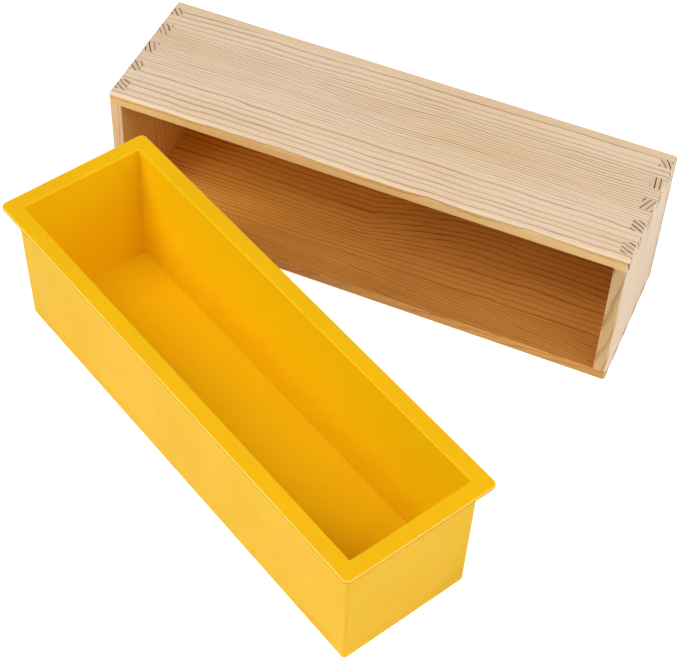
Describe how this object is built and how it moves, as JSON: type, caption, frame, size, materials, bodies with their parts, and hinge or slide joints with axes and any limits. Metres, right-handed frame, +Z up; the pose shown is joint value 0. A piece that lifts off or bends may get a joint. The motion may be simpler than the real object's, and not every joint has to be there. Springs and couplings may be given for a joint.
{
  "type": "soap loaf mould",
  "caption": "Open finger-jointed wooden box lying on its side, and the deep flanged silicone liner that drops into it, standing upright in front, for casting a loaf of soap.",
  "frame": {"origin": "middle of the box's lower long face, which lies on the table", "axes": "+Z up, +X along the box's length, -Y the way the lying box opens, towards the liner"},
  "size_m": [0.2955, 0.2922, 0.09],
  "materials": {
    "pine": "planed and sanded, unfinished",
    "pine_base": "planed and sanded, unfinished",
    "silicone": "satin, moulded"
  },
  "bodies": {
    "wooden_box": {"lower_side_board": "pine", "upper_side_board": "pine", "left_end_board": "pine", "right_end_board": "pine", "bottom_board": "pine_base"},
    "silicone_liner": {"liner": "silicone"}
  },
  "joints": [
    {"name": "liner_lift", "type": "slide", "parent": "wooden_box", "child": "silicone_liner", "axis": [0, 0, 1], "range_m": [0, 0.1]}
  ]
}
